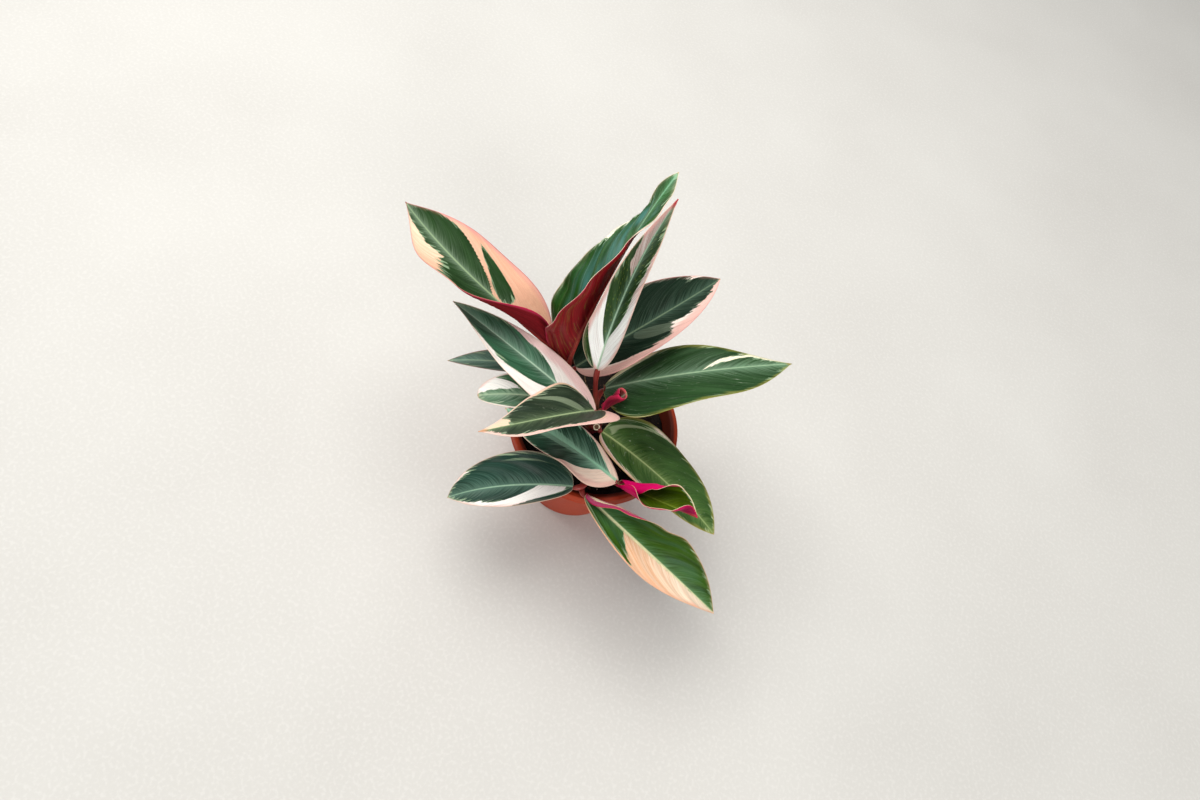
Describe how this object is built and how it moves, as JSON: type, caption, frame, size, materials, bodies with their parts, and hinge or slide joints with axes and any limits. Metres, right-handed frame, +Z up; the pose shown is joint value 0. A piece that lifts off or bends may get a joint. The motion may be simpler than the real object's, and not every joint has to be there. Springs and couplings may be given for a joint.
{
  "type": "stromanthe triostar in a nursery pot",
  "caption": "Young potted prayer plant with lance-shaped leaves in green, cream and pink on reddish petioles, rooted in soil in a tapered terracotta-coloured plastic pot.",
  "frame": {"origin": "centre of the pot's flat base, on the surface it stands on", "axes": "+Z up along the pot's axis; +Y away from the side that the leaves of the front shoot hang over; +X to the right"},
  "size_m": [0.2999, 0.1867, 0.2541],
  "materials": {
    "pot": "thin moulded terracotta-orange plastic, satin rim",
    "soil": "loose dark potting mix with bark and perlite bits",
    "stem": "smooth waxy red-brown petioles and sheaths",
    "leaf": "satin waxy leaf, green with cream and pink sectors, maroon underside",
    "new_leaf": "satin magenta rolled young leaf"
  },
  "bodies": {
    "root": {"pot": "pot", "soil": "soil", "shoot_left": "stem", "shoot_centre": "stem", "shoot_front": "stem", "leaf_back_left": "leaf", "leaf_back_tall": "leaf", "leaf_back_narrow": "leaf", "leaf_right_upper": "leaf", "leaf_right_long": "leaf", "leaf_left_upper": "leaf", "leaf_left_small": "leaf", "leaf_left_lower": "leaf", "leaf_centre": "leaf", "leaf_inner_low": "leaf", "leaf_front_left": "leaf", "leaf_front_right": "leaf", "leaf_unrolling": "leaf", "leaf_front_low": "leaf", "leaf_rolled": "new_leaf"}
  },
  "joints": []
}
